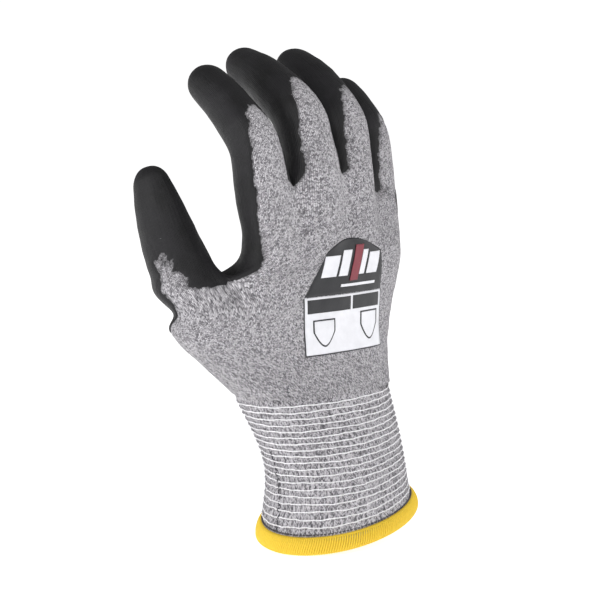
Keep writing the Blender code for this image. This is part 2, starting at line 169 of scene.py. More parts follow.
def through(rows, column, height):
    """A smooth curve through one column of a table of rows, at a height."""
    table = np.array(rows, float)
    x, y = table[:, 0], table[:, column]
    slope = np.gradient(y, x)
    height = np.clip(height, x[0], x[-1])
    n = np.clip(np.searchsorted(x, height, side="right") - 1, 0, len(x) - 2)
    span = x[n + 1] - x[n]
    t = (height - x[n]) / span
    return (
        y[n] * (1 + 2 * t) * (1 - t) ** 2
        + slope[n] * span * t * (1 - t) ** 2
        + y[n + 1] * t * t * (3 - 2 * t)
        + slope[n + 1] * span * t * t * (t - 1)
    )


def smoothstep(low, high, value):
    """0 below low, 1 above high, and smooth between."""
    t = np.clip((value - low) / (high - low), 0.0, 1.0)
    return t * t * (3 - 2 * t)


def unit(vector):
    """The vector at length one."""
    return np.asarray(vector, float) / np.linalg.norm(vector)


def turned(vector, axis, degrees):
    """The vector turned about an axis."""
    return np.array(Matrix.Rotation(math.radians(degrees), 3, Vector(axis)) @ Vector(vector))


class DigitLine:
    """The centre line of one digit, sampled along its length, with its frames and radii."""

    def __init__(self, name):
        digit = DIGITS[name]
        if name == "thumb":
            joints = ["thumb_root", "thumb_end_joint"]
        else:
            joints = [f"{name}_{part}" for part in ("knuckle", "middle_joint", "end_joint")]
        points = [np.array(JOINTS[joint]["pos_m"]) / MM for joint in joints]
        axis = unit(JOINTS[joints[0]]["axis"])
        last = unit(points[-1] - points[-2])
        points.append(points[-1] + turned(last, axis, digit["curl"]) * digit["tip"])
        if name == "thumb":
            points = [point + THUMB_SHIFT * share for point, share in zip(points, (1.0, 0.6, 0.0))]
        self.name = name
        self.joints = points
        self.bodies = ["hand"] + [JOINTS[joint]["child"] for joint in joints]
        self.lengths = [np.linalg.norm(b - a) for a, b in zip(points, points[1:])]
        self.length = sum(self.lengths)
        stops = np.concatenate([[0.0], np.cumsum(self.lengths)])
        self.stops = stops
        lead = 30.0
        before = points[0] - unit(points[1] - points[0]) * lead
        after = points[-1] + unit(points[-1] - points[-2]) * lead
        corners = np.array([before, *points, after])
        at = np.concatenate([[-lead], stops, [self.length + lead]])
        self.along = np.arange(-lead / 2, self.length + lead / 2, 0.25)
        window = np.linspace(-BEND_SPAN, BEND_SPAN, 29)
        spread = self.along[:, None] + window[None]
        self.centre = np.stack([np.interp(spread, at, corners[:, n]).mean(1) for n in range(3)], 1)
        tangent = np.gradient(self.centre, axis=0)
        self.z = tangent / np.linalg.norm(tangent, axis=1)[:, None]
        self.x = -axis
        side = np.cross(self.z, self.x)
        self.y = side / np.linalg.norm(side, axis=1)[:, None]
        self.radius = np.interp(self.along, stops, digit["radii"])

    def value(self, table, along):
        """A sampled property of the line at a place along it."""
        if table.ndim == 1:
            return np.interp(along, self.along, table)
        return np.array([np.interp(along, self.along, table[:, n]) for n in range(3)])

    def ring(self, along, degrees, scale=1.0, radius=None):
        """Points round the digit at a place along it and at the given angles."""
        centre = self.value(self.centre, along)
        y = self.value(self.y, along)
        r = (self.value(self.radius, along) if radius is None else radius) * scale
        t = np.radians(degrees)
        return centre + r * (np.cos(t)[:, None] * self.x + np.sin(t)[:, None] * y)

    def locate(self, points):
        """How far along the digit each point is, its angle round it and its distance."""
        along = np.zeros(len(points))
        best = np.full(len(points), 1e9)
        step = 4
        for n in range(0, len(self.along), step):
            d = ((points - self.centre[n]) ** 2).sum(1)
            nearer = d < best
            best[nearer], along[nearer] = d[nearer], self.along[n]
        n = np.clip(np.searchsorted(self.along, along), 0, len(self.along) - 1)
        offset = points - self.centre[n]
        along = along + (offset * self.z[n]).sum(1)
        angle = np.degrees(np.arctan2((offset * self.y[n]).sum(1), offset @ self.x))
        return along, angle, np.sqrt(best)


LINES = {name: DigitLine(name) for name in DIGITS}


def section_ring(height, columns):
    """Evenly spaced points round the hand at a height, from the thumb side round by the back."""
    near, far, middle, depth, swell = (float(through(HAND_ROWS, n, height)) for n in range(1, 6))
    t = math.pi + np.linspace(0.0, math.tau, 2001)
    c, s = np.cos(t), np.sin(t)
    power = 2.0 / HAND_SQUARENESS
    x = (near + far) / 2 + (far - near) / 2 * np.sign(c) * np.abs(c) ** power
    y = middle + depth * np.sign(s) * np.abs(s) ** power + swell * np.maximum(0.0, -c) ** 2
    run = np.concatenate([[0.0], np.cumsum(np.hypot(np.diff(x), np.diff(y)))])
    at = run[-1] * np.arange(columns) / columns
    place = np.stack([np.interp(at, run, x), np.interp(at, run, y), np.full(columns, height)], 1)
    return place + WRIST


# Cage ------------------------------------------------------------------------------------------

class Cage:
    """The coarse quad cage of the liner, grown ring by ring from the wrist."""

    def __init__(self):
        self.mesh = bmesh.new()
        self.uv = self.mesh.loops.layers.uv.new("knit")
        self.section = self.mesh.faces.layers.int.new("section")
        self.course = {}
        self.sections = []

    def start(self, places):
        """The first ring, from a circle whose points are moved to their places."""
        made = bmesh.ops.create_circle(self.mesh, segments=len(places), radius=1.0)
        loop = made["verts"]
        for vert, place in zip(loop, places):
            vert.co = place
            self.course[vert] = 0.0
        return loop

    def edge(self, a, b):
        """The edge between two points of the cage."""
        for found in a.link_edges:
            if found.other_vert(a) is b:
                return found
        return self.mesh.edges.new((a, b))

    def grow(self, loop, places, columns, section, rise=None):
        """Extrude a closed loop to new places; columns numbers the wales under its edges."""
        edges = [self.edge(a, b) for a, b in zip(loop, loop[1:] + loop[:1])]
        made = bmesh.ops.extrude_edge_only(self.mesh, edges=edges)["geom"]
        fresh = {item for item in made if isinstance(item, bmesh.types.BMVert)}
        above = [next(e.other_vert(v) for e in v.link_edges if e.other_vert(v) in fresh) for v in loop]
        faces = {frozenset(f.verts): f for f in made if isinstance(f, bmesh.types.BMFace)}
        for n, (vert, new, place) in enumerate(zip(loop, above, places)):
            step = (Vector(place) - vert.co).length if rise is None else rise
            self.course[new] = self.course[vert] + step
            new.co = place
        for n, vert in enumerate(loop):
            m = (n + 1) % len(loop)
            face = faces[frozenset((vert, loop[m], above[m], above[n]))]
            face[self.section] = section
            wide = {vert: columns[n], above[n]: columns[n], loop[m]: columns[n] + 1, above[m]: columns[n] + 1}
            for corner in face.loops:
                u = wide[corner.vert] * WALES_A_COLUMN
                corner[self.uv].uv = (u, self.course[corner.vert] / COURSE)
        return above

    def bridge(self, places, like):
        """A few new points that carry the edge of a web between two forks of the cage."""
        made = [self.mesh.verts.new(place) for place in places]
        for vert in made:
            self.course[vert] = self.course[like]
        return made

    def close(self, loop, line, columns, section):
        """Close a digit's end: one last ring drawn together into a pole."""
        radius = DIGITS[line.name]["radii"][-1]
        top = line.value(line.centre, line.length) + line.value(line.z, line.length) * radius * TIP_HEIGHT
        base = sum((vert.co for vert in loop), Vector()) / len(loop)
        places = [vert.co + (Vector(top) - base) * 0.9 - (vert.co - base) * 0.9 for vert in loop]
        pole = self.grow(loop, places, columns, section)
        bmesh.ops.pointmerge(self.mesh, verts=pole, merge_co=Vector(top))


def digit_stops(line):
    """Where the sections of a digit begin and end along it: halfway between its joints."""
    start = DIGITS[line.name]["rim"] + (2.0 if line.name != "thumb" else 0.0)
    middles = [(a + b) / 2 for a, b in zip(line.stops[1:], line.stops[2:-1])]
    return [start, line.stops[1] - SPLIT_BEFORE, *middles, line.length]


def digit_places(line):
    """Where the rings of a digit go: places along it, with the sections they are in."""
    rings = []
    stops = digit_stops(line)
    for part, (low, high) in enumerate(zip(stops, stops[1:])):
        count = max(2, round((high - low) / RING_STEP))
        rings += [(low + (high - low) * n / count, part) for n in range(1, count + 1)]
    return rings


def grow_digit(cage, line, loop, columns, degrees, first_section):
    """Grow a digit from its loop to its tip."""
    count = len(loop)
    swell = 6.0 / (4.0 + 2.0 * math.cos(math.tau / count))
    for along, part in digit_places(line):
        loop = cage.grow(loop, line.ring(along, degrees, swell), columns, first_section + part)
    radius = DIGITS[line.name]["radii"][-1]
    section = first_section + part
    end = line.value(line.centre, line.length)
    for lean in (28.0, 52.0, 72.0):
        high = end + line.value(line.z, line.length) * radius * math.sin(math.radians(lean)) * TIP_HEIGHT
        ring = line.ring(line.length, degrees, swell, radius * math.cos(math.radians(lean)))
        loop = cage.grow(loop, ring - end + high, columns, section)
    cage.close(loop, line, columns, section)


def build_cage():
    """The whole cage: hand, fork of the thumb, webs of the fingers and the five digits."""
    cage = Cage()
    sections = ["hand"]
    loop = cage.start(section_ring(0.0, LOWER_COLUMNS))
    lower = list(range(LOWER_COLUMNS))
    for height in LOWER_HEIGHTS:
        ring = section_ring(height, LOWER_COLUMNS)
        near = smoothstep(15.0, 55.0, WRIST[0] - ring[:, 0])
        ring[:, 2] -= THUMB_TILT * near * (height / LOWER_HEIGHTS[-1]) ** 2
        loop = cage.grow(loop, ring, lower, 0, rise=7.5)

    # The fork row: the thumb's share of it lies on the thumb's own ring.
    thumb = LINES["thumb"]
    turns = THUMB_WEB_TURN - np.arange(THUMB_COLUMNS) * 360.0 / THUMB_COLUMNS
    away = np.maximum(0.0, -np.cos(np.radians(turns - THUMB_WEB_TURN)))
    thumb_ring = thumb.ring(THUMB_FORK, turns, THUMB_SWELL)
    thumb_ring += (thumb_ring - thumb.value(thumb.centre, THUMB_FORK)) * away[:, None] * 0.18
    upper = section_ring(FORK_HEIGHT, UPPER_COLUMNS)
    own = (THUMB_COLUMNS - 4) // 2
    places = []
    for n in range(LOWER_COLUMNS):
        k = n if n <= LOWER_COLUMNS // 2 else n - LOWER_COLUMNS
        if abs(k) < own:
            places.append(thumb_ring[(8 - k) % THUMB_COLUMNS])
        else:
            places.append(upper[(k - 4) if k > 0 else UPPER_COLUMNS + k + 4])
    for k in (own, -own):
        ring = thumb_ring[8 - k]
        places[k] = (places[k] + ring) / 2
    loop = cage.grow(loop, places, lower, 0, rise=6.0)
    saddle = WRIST + np.array(WEB_SADDLE)
    front, back = np.array(loop[own].co), np.array(loop[-own].co)
    webs = [saddle * 0.55 + front * 0.45, saddle, saddle * 0.55 + back * 0.45]
    webs = cage.bridge(webs, loop[0])
    thumb_loop = [webs[1], webs[0]] + [loop[k] for k in range(own, -own - 1, -1)] + [webs[2]]
    palm_loop = [webs[1], webs[0]] + [loop[k] for k in range(own, LOWER_COLUMNS - own + 1)] + [webs[2]]

    sections += ["thumb_0", "thumb_1"]
    columns = [THUMB_FIRST_COLUMN - n for n in range(THUMB_COLUMNS)]
    grow_digit(cage, thumb, thumb_loop, columns, turns, 1)

    # Fingers' rims: each finger's own ring, shared points between neighbours.
    rings = {}
    degrees = 180.0 + 360.0 / FINGER_COLUMNS * np.arange(FINGER_COLUMNS)
    for name in FINGERS:
        rings[name] = LINES[name].ring(DIGITS[name]["rim"], degrees, FINGER_SWELL)
    rim = np.zeros((UPPER_COLUMNS, 3))
    for f, name in enumerate(FINGERS):
        ring = rings[name]
        for j in range(1, 6):
            k = 4 * f + j
            rim[k] = ring[j] if rim[k].sum() == 0 else (rim[k] + ring[j]) / 2
            k = 35 - 4 * f - (j - 1)
            rim[k] = ring[12 - j] if rim[k].sum() == 0 else (rim[k] + ring[12 - j]) / 2
    rim[0], rim[18] = rings["index"][0], rings["little"][6]
    for w, height in enumerate(WEB_HEIGHTS):
        rim[5 + 4 * w][2] = height
        rim[31 - 4 * w][2] = height

    columns = list(range(4, 4 + UPPER_COLUMNS))
    base = np.array([vert.co for vert in palm_loop])
    top_ring = section_ring(RIM_SECTION, UPPER_COLUMNS)
    for height in UPPER_HEIGHTS:
        share = (height - FORK_HEIGHT) / (RIM_SECTION - FORK_HEIGHT)
        ring = section_ring(height, UPPER_COLUMNS)
        ring += (rim - top_ring) * float(smoothstep(*RIM_BLEND, height + 3.0)) * np.array([1.0, 1.0, 0.0])
        ring[:, 2] = base[:, 2] + (rim[:, 2] - base[:, 2]) * share
        palm_loop = cage.grow(palm_loop, ring, columns, 0)
    palm_loop = cage.grow(palm_loop, rim, columns, 0)
    webs = []
    for w, (a, b) in enumerate(zip(FINGERS, FINGERS[1:])):
        place = (rings[a][6] + rings[b][0]) / 2
        place[2] = WEB_HEIGHTS[w] - WEB_SINK
        webs += cage.bridge([place], palm_loop[5 + 4 * w])
    for f, name in enumerate(FINGERS):
        near = palm_loop[0] if f == 0 else webs[f - 1]
        far = palm_loop[18] if f == 3 else webs[f]
        backs = [palm_loop[4 * f + j] for j in range(1, 6)]
        palms = [palm_loop[35 - 4 * f - j] for j in range(4, -1, -1)]
        loop = [near] + backs + [far] + palms
        columns = [4 + 4 * f + n for n in range(FINGER_COLUMNS)]
        first = len(sections)
        sections += [f"{name}_0", f"{name}_1", f"{name}_2"]
        grow_digit(cage, LINES[name], loop, columns, degrees, first)

    bmesh.ops.recalc_face_normals(cage.mesh, faces=cage.mesh.faces)
    border = sum(edge.is_boundary for edge in cage.mesh.edges)
    if border != LOWER_COLUMNS:
        raise RuntimeError(f"the liner is open elsewhere than at the wrist: {border} border edges")
    data = bpy.data.meshes.new("liner_cage")
    cage.mesh.to_mesh(data)
    cage.mesh.free()
    return data, sections


# Fine surface ----------------------------------------------------------------------------------

def column_of(data, name, size):
    """One property of all of a mesh's points, as an array."""
    values = np.zeros(len(data) * size)
    data.foreach_get(name, values)
    return values.reshape(-1, size) if size > 1 else values


def dry_distance(points):
    """How deep each point lies inside the dipped area, in millimetres; below zero it is dry."""
    local = points - WRIST
    x, y, h = local.T
    near_level = -9.0 + 22.0 * (1.0 - smoothstep(46.0, 60.0, h)) + 9.0 * (1.0 - smoothstep(22.0, 44.0, h))
    level = near_level + (2.0 - near_level) * smoothstep(-48.0, 10.0, x)
    palm = y - level
    band = 9.5 - np.linalg.norm(local - np.array(WEB_SADDLE), axis=1)
    depth = np.maximum(palm, band)
    depth = np.minimum(depth, h - 13.0 + 3.0 * np.cos(x / 16.0))
    for name, line in LINES.items():
        half, turn, reach = DIGITS[name]["dry"]
        along, angle, away = line.locate(points)
        near = away < line.value(line.radius, np.clip(along, 0, line.length)) * 1.6 + 2.0
        rim = DIGITS[name]["rim"]
        share = smoothstep(rim - 8.0, rim + 4.0, along) * near
        end = line.stops[1] + reach
        rise = np.clip((along - rim + 8.0) / (end - rim + 8.0), 0.0, 3.0)
        least = math.cos(math.radians(half))
        if name == "thumb":
            round_back = THUMB_WEB_TURN - angle - THUMB_DRY_TURN
            q = least + (1.0 - least) * rise ** 1.5
        else:
            round_back = 270.0 - angle + turn
            q = least + (1.0 - least) * rise ** 3.0
        inside = line.value(line.radius, along) * (q - np.cos(np.radians(round_back)))
        depth = depth * (1.0 - share) + inside * share
    return depth


def undulation(points):
    """Slow unevenness of the filled fabric, in millimetres."""
    out = np.zeros(len(points))
    for n, point in enumerate(points):
        p = Vector(point)
        out[n] = 0.55 * noise.noise(p / 17.0) + 0.22 * noise.noise(p / 6.0 + Vector((9, 3, 1)))
    return out


def ragged(points):
    """Unevenness of the coating's edge, in millimetres."""
    out = np.zeros(len(points))
    for n, point in enumerate(points):
        p = Vector(point)
        out[n] = 1.1 * noise.noise(p / 5.0) + 0.8 * noise.noise(p / 1.6)
    return out


_made = {}


def glove_surface():
    """The subdivided liner surface as a mesh in millimetres, with its dry distance and normals."""
    if "surface" in _made:
        return _made["surface"]
    cage, sections = build_cage()
    holder = bpy.data.objects.new("liner_cage", cage)
    bpy.context.scene.collection.objects.link(holder)
    smooth = holder.modifiers.new("smooth", "SUBSURF")
    smooth.levels = SUBDIVISIONS
    smooth.render_levels = SUBDIVISIONS
    bpy.context.view_layer.update()
    shown = holder.evaluated_get(bpy.context.evaluated_depsgraph_get())
    fine = bpy.data.meshes.new_from_object(shown)
    bpy.data.objects.remove(holder)
    bpy.data.meshes.remove(cage)
    fine.name = "liner_surface"
    points = column_of(fine.vertices, "co", 3)
    normals = column_of(fine.vertices, "normal", 3)
    points = points + normals * undulation(points)[:, None]
    fine.vertices.foreach_set("co", points.ravel())
    fine.update()
    normals = column_of(fine.vertices, "normal", 3)
    depth = dry_distance(points)
    fade = 1.0 - smoothstep(3.0, 7.0, np.abs(depth))
    depth = depth + ragged(points) * fade
    _made["surface"] = (fine, points, normals, depth, sections)
    return _made["surface"]


def split_piece(name, fine, section, points, normals, wall, drop=None, extra=None):
    """One section of a surface as a closed shell in metres, with the whole surface's normals."""
    mesh = bmesh.new()
    mesh.from_mesh(fine)
    tag = mesh.faces.layers.int["section"]
    mesh.verts.ensure_lookup_table()
    origin = mesh.verts.layers.int.new("origin")
    for n, vert in enumerate(mesh.verts):
        vert[origin] = n
        vert.co = points[n]
    gone = [
        f for f in mesh.faces
        if f[tag] != section or (drop is not None and all(drop[v.index] for v in f.verts))
    ]
    bmesh.ops.delete(mesh, geom=gone, context="FACES")
    if not mesh.faces:
        mesh.free()
        return None
    mesh.normal_update()
    bmesh.ops.solidify(mesh, geom=mesh.faces[:], thickness=wall)
    mesh.verts.ensure_lookup_table()
    mesh.verts.index_update()
    own = np.array([vert[origin] for vert in mesh.verts])
    data = bpy.data.meshes.new(name)
    mesh.to_mesh(data)
    mesh.free()
    co = column_of(data.vertices, "co", 3)
    outer = np.linalg.norm(co - points[own], axis=1) < 1e-3
    co = np.where(outer[:, None], co, points[own] - normals[own] * wall)
    data.vertices.foreach_set("co", co.ravel())
    data.update()
    if extra is not None:
        for key, values in extra.items():
            layer = data.attributes.new(key, "FLOAT", "POINT")
            layer.data.foreach_set("value", values[own].astype(np.float32))
    data.shade_smooth()
    chosen = np.where(outer[:, None], normals[own], 0.0)
    data.normals_split_custom_set_from_vertices(chosen.tolist())
    data.attributes.remove(data.attributes["origin"])
    data.transform(Matrix.Scale(MM, 4))
    piece = bpy.data.objects.new(name, data)
    bpy.context.scene.collection.objects.link(piece)
    return piece


def bend_with(piece, section):
    """Attach a piece of the hand to the hand; a piece of a digit only has its transform baked into its mesh.
    """
    if section == "hand":
        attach(piece, "hand")
        return
    name, part = section.split("_")
    line, part = LINES[name], int(part)
    joint = line.stops[part]
    if part == 0:
        start, end = DIGITS[name]["rim"] + 0.5, line.stops[1] - SPLIT_BEFORE - 0.5
    else:
        half = LITTLE_BLEND_HALF if name == "little" else BLEND_HALF
        start, end = joint - half, joint + half
    places = [line.value(line.centre, at) * MM for at in (start, end)]
    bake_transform(piece)


# Materials -------------------------------------------------------------------------------------

def linear(code):
    """An sRGB hex colour as linear light."""
    parts = [int(code[n:n + 2], 16) / 255 for n in (0, 2, 4)]
    return tuple(c / 12.92 if c <= 0.04045 else ((c + 0.055) / 1.055) ** 2.4 for c in parts)


def add_node(tree, kind, inputs=(), **settings):
    """A node with its settings, and its inputs set to values or linked to sockets."""
    made = tree.nodes.new(kind)
    for key, value in settings.items():
        setattr(made, key, value)
    for key, value in dict(inputs).items():
        if isinstance(value, bpy.types.NodeSocket):
            tree.links.new(value, made.inputs[key])
        else:
            made.inputs[key].default_value = value
    return made


def maths(tree, operation, *values):
    """The result of a Math node."""
    return add_node(tree, "ShaderNodeMath", dict(enumerate(values)), operation=operation).outputs[0]


def new_material(name):
    """An empty material with its Principled shader."""
    made = bpy.data.materials.new(name)
    made.use_nodes = True
    return made, made.node_tree, made.node_tree.nodes["Principled BSDF"]


def stitches(tree, u, v, slope):
    """Height of jersey stitches, and the cell each half stitch is in, from wales and courses."""
    across = maths(tree, "ABSOLUTE", maths(tree, "SUBTRACT", maths(tree, "FRACT", u), 0.5))
    across = maths(tree, "MULTIPLY", across, 2.0)
    lifted = maths(tree, "SUBTRACT", v, maths(tree, "MULTIPLY", across, slope))
    ridge = maths(tree, "SINE", maths(tree, "MULTIPLY", across, math.pi))
    row = maths(tree, "SINE", maths(tree, "MULTIPLY", maths(tree, "FRACT", lifted), math.pi))
    height = maths(tree, "MULTIPLY", ridge, maths(tree, "MULTIPLY_ADD", row, 0.6, 0.4))
    leg = maths(tree, "FLOOR", maths(tree, "MULTIPLY", u, 2.0))
    course = maths(tree, "FLOOR", maths(tree, "MULTIPLY", lifted, 2.0))
    return height, leg, course


def knit_material(settings):
    """Heathered jersey of polyethylene and glass yarn, knitted: matt, with flecked V stitches and painted
    shade in the grooves between them.

    One column of stitches is about 1.4 mm wide and a course 1.15 mm high, as on a 13 gauge liner.
    """
    made, tree, shader = new_material("heathered_jersey_knitted")
    uv = add_node(tree, "ShaderNodeUVMap", uv_map="knit").outputs["UV"]
    axes = add_node(tree, "ShaderNodeSeparateXYZ", {0: uv})
    u, v = axes.outputs[0], axes.outputs[1]
    height, leg, course = stitches(tree, u, v, 0.5)
    cell = add_node(tree, "ShaderNodeCombineXYZ", {0: leg, 1: course}).outputs[0]
    fleck = add_node(tree, "ShaderNodeTexWhiteNoise", {"Vector": cell}, noise_dimensions="2D")
    fleck = fleck.outputs["Value"]
    strand = {0: maths(tree, "MULTIPLY", u, 0.9), 1: maths(tree, "MULTIPLY", course, 3.7)}
    strand = add_node(tree, "ShaderNodeCombineXYZ", strand).outputs[0]
    streak = {"Vector": strand, "Scale": 1.0, "Detail": 2.0}
    streak = add_node(tree, "ShaderNodeTexNoise", streak, noise_dimensions="2D").outputs["Fac"]
    fibre = {"Vector": uv, "Scale": 3.0, "Detail": 3.0}
    fibre = add_node(tree, "ShaderNodeTexNoise", fibre, noise_dimensions="2D").outputs["Fac"]
    mixed = maths(tree, "ADD", maths(tree, "MULTIPLY", fleck, 0.5), maths(tree, "MULTIPLY", streak, 0.25))
    mixed = maths(tree, "ADD", mixed, maths(tree, "MULTIPLY", fibre, 0.5))
    ramp = add_node(tree, "ShaderNodeValToRGB", {0: maths(tree, "SUBTRACT", mixed, 0.125)})
    stops = ramp.color_ramp.elements
    stops[0].position, stops[0].color = 0.22, (*settings.dark_yarn, 1)
    stops[1].position, stops[1].color = 0.78, (*settings.light_yarn, 1)
    # Painted shade: the stitch height darkens the colour in the grooves between stitches and lightens it on
    # their tops. The soak factor below also darkens knit that the coating soaked into, which is real.
    shade = maths(tree, "MULTIPLY_ADD", height, 0.55, 0.6)
    soak = add_node(tree, "ShaderNodeAttribute", attribute_name="soak").outputs["Fac"]
    shade = maths(tree, "MULTIPLY", shade, maths(tree, "SUBTRACT", 1.0, maths(tree, "MULTIPLY", soak, 0.75)))
    colour = {0: ramp.outputs[0], "Scale": shade}
    colour = add_node(tree, "ShaderNodeVectorMath", colour, operation="SCALE").outputs[0]
    bump = add_node(tree, "ShaderNodeBump", {"Strength": 0.9, "Distance": 0.45 * MM, "Height": height})
    tree.links.new(colour, shader.inputs["Base Color"])
    tree.links.new(bump.outputs[0], shader.inputs["Normal"])
    shader.inputs["Roughness"].default_value = 0.9
    shader.inputs["Sheen Weight"].default_value = 0.15
    return made


def coat_material(settings):
    """Polyurethane, dipped over the knit and cured: charcoal black satin with the knit showing faintly."""
    made, tree, shader = new_material("polyurethane_dipped")
    uv = add_node(tree, "ShaderNodeUVMap", uv_map="knit").outputs["UV"]
    axes = add_node(tree, "ShaderNodeSeparateXYZ", {0: uv})
    height, _, _ = stitches(tree, axes.outputs[0], axes.outputs[1], 0.8)
    place = add_node(tree, "ShaderNodeTexCoord").outputs["Object"]
    slow = {"Vector": place, "Scale": 70.0, "Detail": 3.0}
    slow = add_node(tree, "ShaderNodeTexNoise", slow).outputs["Fac"]
    stretched = add_node(tree, "ShaderNodeMapping", {"Vector": uv, "Scale": (0.55, 0.07, 1.0)}).outputs[0]
    crease = {"Vector": stretched, "Scale": 1.0, "Detail": 4.0, "Roughness": 0.6}
    crease = add_node(tree, "ShaderNodeTexNoise", crease, noise_dimensions="2D").outputs["Fac"]
    grain = {"Vector": place, "Scale": 900.0, "Detail": 2.0}
    grain = add_node(tree, "ShaderNodeTexNoise", grain).outputs["Fac"]
    crease = maths(tree, "MULTIPLY", crease, 1.1)
    total = maths(tree, "ADD", maths(tree, "MULTIPLY", height, 0.3), crease)
    total = maths(tree, "ADD", total, maths(tree, "MULTIPLY", grain, 0.12))
    bump = add_node(tree, "ShaderNodeBump", {"Strength": 0.6, "Distance": 0.6 * MM, "Height": total})
    ramp = add_node(tree, "ShaderNodeValToRGB", {0: slow})
    stops = ramp.color_ramp.elements
    stops[0].position, stops[0].color = 0.3, (*settings.deep, 1)
    stops[1].position, stops[1].color = 0.75, (*settings.bloom, 1)
    rough = maths(tree, "MULTIPLY_ADD", slow, 0.25, 0.38)
    tree.links.new(ramp.outputs[0], shader.inputs["Base Color"])
    tree.links.new(rough, shader.inputs["Roughness"])
    tree.links.new(bump.outputs[0], shader.inputs["Normal"])
    shader.inputs["Specular IOR Level"].default_value = 0.28
    return made


def rib_material(settings):
    """Heathered rib of the same yarn, knitted with elastic: painted shade darkens it in stripes at the ribs'
    spacing and in the grooves between stitches.
    """
    made, tree, shader = new_material("heathered_rib_knitted")
    uv = add_node(tree, "ShaderNodeUVMap", uv_map="knit").outputs["UV"]
    axes = add_node(tree, "ShaderNodeSeparateXYZ", {0: uv})
    u, v = axes.outputs[0], axes.outputs[1]
    height, leg, course = stitches(tree, maths(tree, "MULTIPLY", u, 2.0), v, 0.7)
    cell = add_node(tree, "ShaderNodeCombineXYZ", {0: leg, 1: course}).outputs[0]
    fleck = add_node(tree, "ShaderNodeTexWhiteNoise", {"Vector": cell}, noise_dimensions="2D")
    fleck = fleck.outputs["Value"]
    fibre = {"Vector": uv, "Scale": 4.0, "Detail": 3.0}
    fibre = add_node(tree, "ShaderNodeTexNoise", fibre, noise_dimensions="2D").outputs["Fac"]
    mixed = maths(tree, "ADD", maths(tree, "MULTIPLY", fleck, 0.6), maths(tree, "MULTIPLY", fibre, 0.6))
    # Painted shade for the furrows between the ribs: the colour is darkened in stripes at the ribs' spacing.
    painted_rib_shade = maths(tree, "COSINE", maths(tree, "MULTIPLY", u, math.tau))
    mixed = maths(tree, "SUBTRACT", mixed, maths(tree, "MULTIPLY", painted_rib_shade, 0.08))
    ramp = add_node(tree, "ShaderNodeValToRGB", {0: maths(tree, "SUBTRACT", mixed, 0.1)})
    stops = ramp.color_ramp.elements
    stops[0].position, stops[0].color = 0.24, (*settings.dark_yarn, 1)
    stops[1].position, stops[1].color = 0.72, (*settings.light_yarn, 1)
    # Painted shade: the stitch height darkens the colour in the grooves between stitches and lightens it on
    # their tops.
    shade = maths(tree, "MULTIPLY_ADD", height, 0.5, 0.65)
    colour = {0: ramp.outputs[0], "Scale": shade}
    colour = add_node(tree, "ShaderNodeVectorMath", colour, operation="SCALE").outputs[0]
    bump = add_node(tree, "ShaderNodeBump", {"Strength": 0.8, "Distance": 0.4 * MM, "Height": height})
    tree.links.new(colour, shader.inputs["Base Color"])
    tree.links.new(bump.outputs[0], shader.inputs["Normal"])
    shader.inputs["Roughness"].default_value = 0.9
    shader.inputs["Sheen Weight"].default_value = 0.15
    return made


def thread_material(name, colour, fleck_scale, spread):
    """Spun thread or covered yarn: matt, with its twist as fine light and dark."""
    made, tree, shader = new_material(name)
    place = add_node(tree, "ShaderNodeTexCoord").outputs["Object"]
    twist = {"Vector": place, "Scale": fleck_scale, "Detail": 2.0}
    twist = add_node(tree, "ShaderNodeTexNoise", twist).outputs["Fac"]
    ramp = add_node(tree, "ShaderNodeValToRGB", {0: twist})
    stops = ramp.color_ramp.elements
    stops[0].position, stops[0].color = 0.25, (*[c * (1 - spread) for c in colour], 1)
    stops[1].position, stops[1].color = 0.75, (*[min(1.0, c * (1 + spread * 0.4)) for c in colour], 1)
    bump = add_node(tree, "ShaderNodeBump", {"Strength": 0.5, "Distance": 0.15 * MM, "Height": twist})
    tree.links.new(ramp.outputs[0], shader.inputs["Base Color"])
    tree.links.new(bump.outputs[0], shader.inputs["Normal"])
    shader.inputs["Roughness"].default_value = 0.75
    return made


def film_material(name, colour, roughness):
    """Heat-transfer film pressed on knit: flat semi-matt colour, with the stitches showing through."""
    made, tree, shader = new_material(name)
    place = add_node(tree, "ShaderNodeTexCoord").outputs["Object"]
    press = {"Vector": place, "Scale": 900.0, "Detail": 2.0}
    press = add_node(tree, "ShaderNodeTexNoise", press).outputs["Fac"]
    wear = {"Vector": place, "Scale": 240.0, "Detail": 4.0}
    wear = add_node(tree, "ShaderNodeTexNoise", wear).outputs["Fac"]
    ramp = add_node(tree, "ShaderNodeValToRGB", {0: wear})
    stops = ramp.color_ramp.elements
    stops[0].position, stops[0].color = 0.3, (*[c * 0.9 for c in colour], 1)
    stops[1].position, stops[1].color = 0.7, (*colour, 1)
    bump = add_node(tree, "ShaderNodeBump", {"Strength": 0.35, "Distance": 0.2 * MM, "Height": press})
    tree.links.new(ramp.outputs[0], shader.inputs["Base Color"])
    tree.links.new(bump.outputs[0], shader.inputs["Normal"])
    shader.inputs["Roughness"].default_value = roughness
    return made


# Cuff ------------------------------------------------------------------------------------------

def cuff_points(turn, height, out):
    """Points on the cuff's surface at angles round it and heights, moved outwards."""
    across, back, width, depth, dip = (through(CUFF_ROWS, n, np.maximum(height, 0.0)) for n in range(1, 6))
    flare = 1.8 * np.exp(-np.maximum(height, 0.0) / 6.0)
    x = (width + flare + out) * np.cos(turn)
    y = (depth + flare + out) * np.sin(turn)
    towards = math.radians(CUFF_DIP_TOWARDS)
    drop = np.tan(np.radians(dip)) * (x * math.cos(towards) + y * math.sin(towards))
    return np.stack([across + x, back + y, height - drop], -1)


